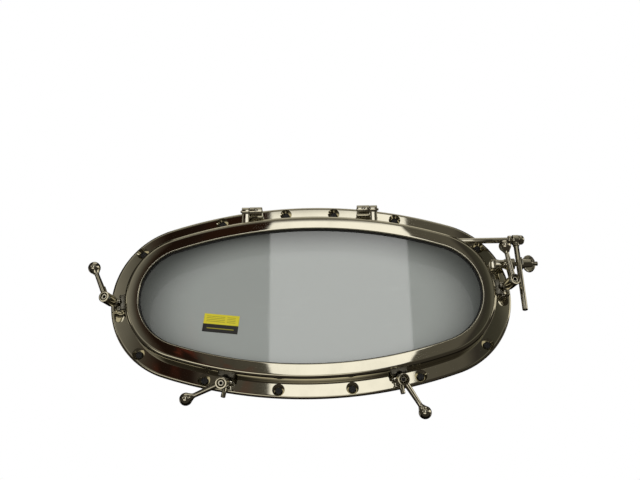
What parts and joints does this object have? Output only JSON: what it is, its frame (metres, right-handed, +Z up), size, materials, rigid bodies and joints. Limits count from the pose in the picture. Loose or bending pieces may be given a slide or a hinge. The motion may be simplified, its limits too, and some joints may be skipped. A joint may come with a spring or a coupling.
{
  "type": "opening porthole",
  "caption": "Oval steel opening porthole with a top-hinged glazed ring, swing-bolt dogs with ball levers and a clamped stay rod.",
  "frame": {"origin": "centre of the oval flange at its back face, the plane that lies on the cabin side of the hull", "axes": "+X along the long axis to the right seen from the cabin, +Y outward through the hull along the spigot, +Z up"},
  "size_m": [0.4675, 0.0853, 0.2385],
  "materials": {
    "polished_steel": "polished stainless steel with fine scratches",
    "satin_steel": "satin turned stainless steel",
    "rubber": "matt black rubber",
    "pane": "grey-tinted pane, glossy",
    "label": "printed yellow and black adhesive label, no lettering"
  },
  "bodies": {
    "frame": {"main_frame": "polished_steel", "frame_gasket": "rubber", "hinge_block_left": "polished_steel", "hinge_block_right": "polished_steel", "hinge_pin_left": "satin_steel", "hinge_pin_right": "satin_steel", "set_screw_left": "satin_steel", "set_screw_right": "satin_steel", "dog_lug_left": "polished_steel", "dog_lug_right": "polished_steel", "dog_lug_lower_left": "polished_steel", "dog_lug_lower_right": "polished_steel", "dog_pin_left": "satin_steel", "dog_pin_right": "satin_steel", "dog_pin_lower_left": "satin_steel", "dog_pin_lower_right": "satin_steel", "stay_bracket": "polished_steel", "stay_stud": "satin_steel"},
    "door": {"door_ring": "polished_steel", "glazing_seal": "rubber", "window_pane": "pane", "retaining_ring": "satin_steel", "pane_label": "label", "hinge_lug_left": "polished_steel", "hinge_lug_right": "polished_steel", "door_ear_left": "polished_steel", "door_ear_right": "polished_steel", "door_ear_lower_left": "polished_steel", "door_ear_lower_right": "polished_steel", "stay_arm": "polished_steel", "stay_collar": "polished_steel", "stay_end_cap": "polished_steel"},
    "stay_hanger": {"stay_knuckle": "polished_steel", "stay_rod": "polished_steel"},
    "dog_left": {"eye_bolt_left": "satin_steel"},
    "dog_washer_left": {"washer_left": "satin_steel"},
    "dog_handle_left": {"handle_left": "polished_steel"},
    "dog_right": {"eye_bolt_right": "satin_steel"},
    "dog_washer_right": {"washer_right": "satin_steel"},
    "dog_handle_right": {"handle_right": "polished_steel"},
    "dog_lower_left": {"eye_bolt_lower_left": "satin_steel"},
    "dog_washer_lower_left": {"washer_lower_left": "satin_steel"},
    "dog_handle_lower_left": {"handle_lower_left": "polished_steel"},
    "dog_lower_right": {"eye_bolt_lower_right": "satin_steel"},
    "dog_washer_lower_right": {"washer_lower_right": "satin_steel"},
    "dog_handle_lower_right": {"handle_lower_right": "polished_steel"},
    "stay_clamp_washer": {"stay_washer": "satin_steel"},
    "wing_nut": {"wing_nut": "polished_steel"}
  },
  "joints": [
    {"name": "door_hinge", "type": "hinge", "parent": "frame", "child": "door", "pos_m": [0, -0.015, 0.0965], "axis": [-1, 0, 0], "range_deg": [0, 75]},
    {"name": "stay_knuckle_pivot", "type": "hinge", "parent": "door", "child": "stay_hanger", "pos_m": [0.2176, -0.0145, 0.0575], "axis": [1, 0, 0], "range_deg": [0, 113]},
    {"name": "dog_swing_left", "type": "hinge", "parent": "frame", "child": "dog_left", "pos_m": [-0.1988, -0.007, -0.0055], "axis": [0.0724, 0, -0.9974], "range_deg": [-26, 12]},
    {"name": "dog_washer_slide_left", "type": "slide", "parent": "dog_left", "child": "dog_washer_left", "axis": [-0.2916, -0.9563, -0.0212], "range_m": [-0.00225, 0]},
    {"name": "handle_turn_left", "type": "hinge", "parent": "dog_washer_left", "child": "dog_handle_left", "pos_m": [-0.1988, -0.007, -0.0055], "axis": [-0.2916, -0.9563, -0.0212], "range_deg": [-405.5, 0]},
    {"name": "dog_swing_right", "type": "hinge", "parent": "frame", "child": "dog_right", "pos_m": [0.19887, -0.007, 0.0045], "axis": [-0.0592, 0, 0.9982], "range_deg": [-26, 0]},
    {"name": "dog_washer_slide_right", "type": "slide", "parent": "dog_right", "child": "dog_washer_right", "axis": [0.2919, -0.9563, 0.0173], "range_m": [-0.00225, 0]},
    {"name": "handle_turn_right", "type": "hinge", "parent": "dog_washer_right", "child": "dog_handle_right", "pos_m": [0.19887, -0.007, 0.0045], "axis": [0.2919, -0.9563, 0.0173], "range_deg": [-405.5, 0]},
    {"name": "dog_swing_lower_left", "type": "hinge", "parent": "frame", "child": "dog_lower_left", "pos_m": [-0.085, -0.007, -0.08815], "axis": [0.9831, 0, -0.1831], "range_deg": [-26, 12]},
    {"name": "dog_washer_slide_lower_left", "type": "slide", "parent": "dog_lower_left", "child": "dog_washer_lower_left", "axis": [-0.0535, -0.9563, -0.2874], "range_m": [-0.00225, 0]},
    {"name": "handle_turn_lower_left", "type": "hinge", "parent": "dog_washer_lower_left", "child": "dog_handle_lower_left", "pos_m": [-0.085, -0.007, -0.08815], "axis": [-0.0535, -0.9563, -0.2874], "range_deg": [-405.5, 0]},
    {"name": "dog_swing_lower_right", "type": "hinge", "parent": "frame", "child": "dog_lower_right", "pos_m": [0.088, -0.007, -0.08758], "axis": [0.9819, 0, 0.1896], "range_deg": [-26, 12]},
    {"name": "dog_washer_slide_lower_right", "type": "slide", "parent": "dog_lower_right", "child": "dog_washer_lower_right", "axis": [0.0554, -0.9563, -0.2871], "range_m": [-0.00225, 0]},
    {"name": "handle_turn_lower_right", "type": "hinge", "parent": "dog_washer_lower_right", "child": "dog_handle_lower_right", "pos_m": [0.088, -0.007, -0.08758], "axis": [0.0554, -0.9563, -0.2871], "range_deg": [-405.5, 0]},
    {"name": "stay_washer_slide", "type": "slide", "parent": "frame", "child": "stay_clamp_washer", "axis": [1, 0, 0], "range_m": [0, 0.0008]},
    {"name": "wing_nut_turn", "type": "hinge", "parent": "stay_clamp_washer", "child": "wing_nut", "pos_m": [0.2176, -0.0113, 0.0315], "axis": [1, 0, 0], "range_deg": [0, 360.5]}
  ],
  "couplings": [
    {"joint": "stay_knuckle_pivot", "follows": "door_hinge", "ratio": 1.503},
    {"joint": "handle_turn_left", "follows": "dog_washer_slide_left", "rad_per_m": 3141.6},
    {"joint": "handle_turn_right", "follows": "dog_washer_slide_right", "rad_per_m": 3141.6},
    {"joint": "handle_turn_lower_left", "follows": "dog_washer_slide_lower_left", "rad_per_m": 3141.6},
    {"joint": "handle_turn_lower_right", "follows": "dog_washer_slide_lower_right", "rad_per_m": 3141.6},
    {"joint": "wing_nut_turn", "follows": "stay_washer_slide", "rad_per_m": 7854}
  ]
}
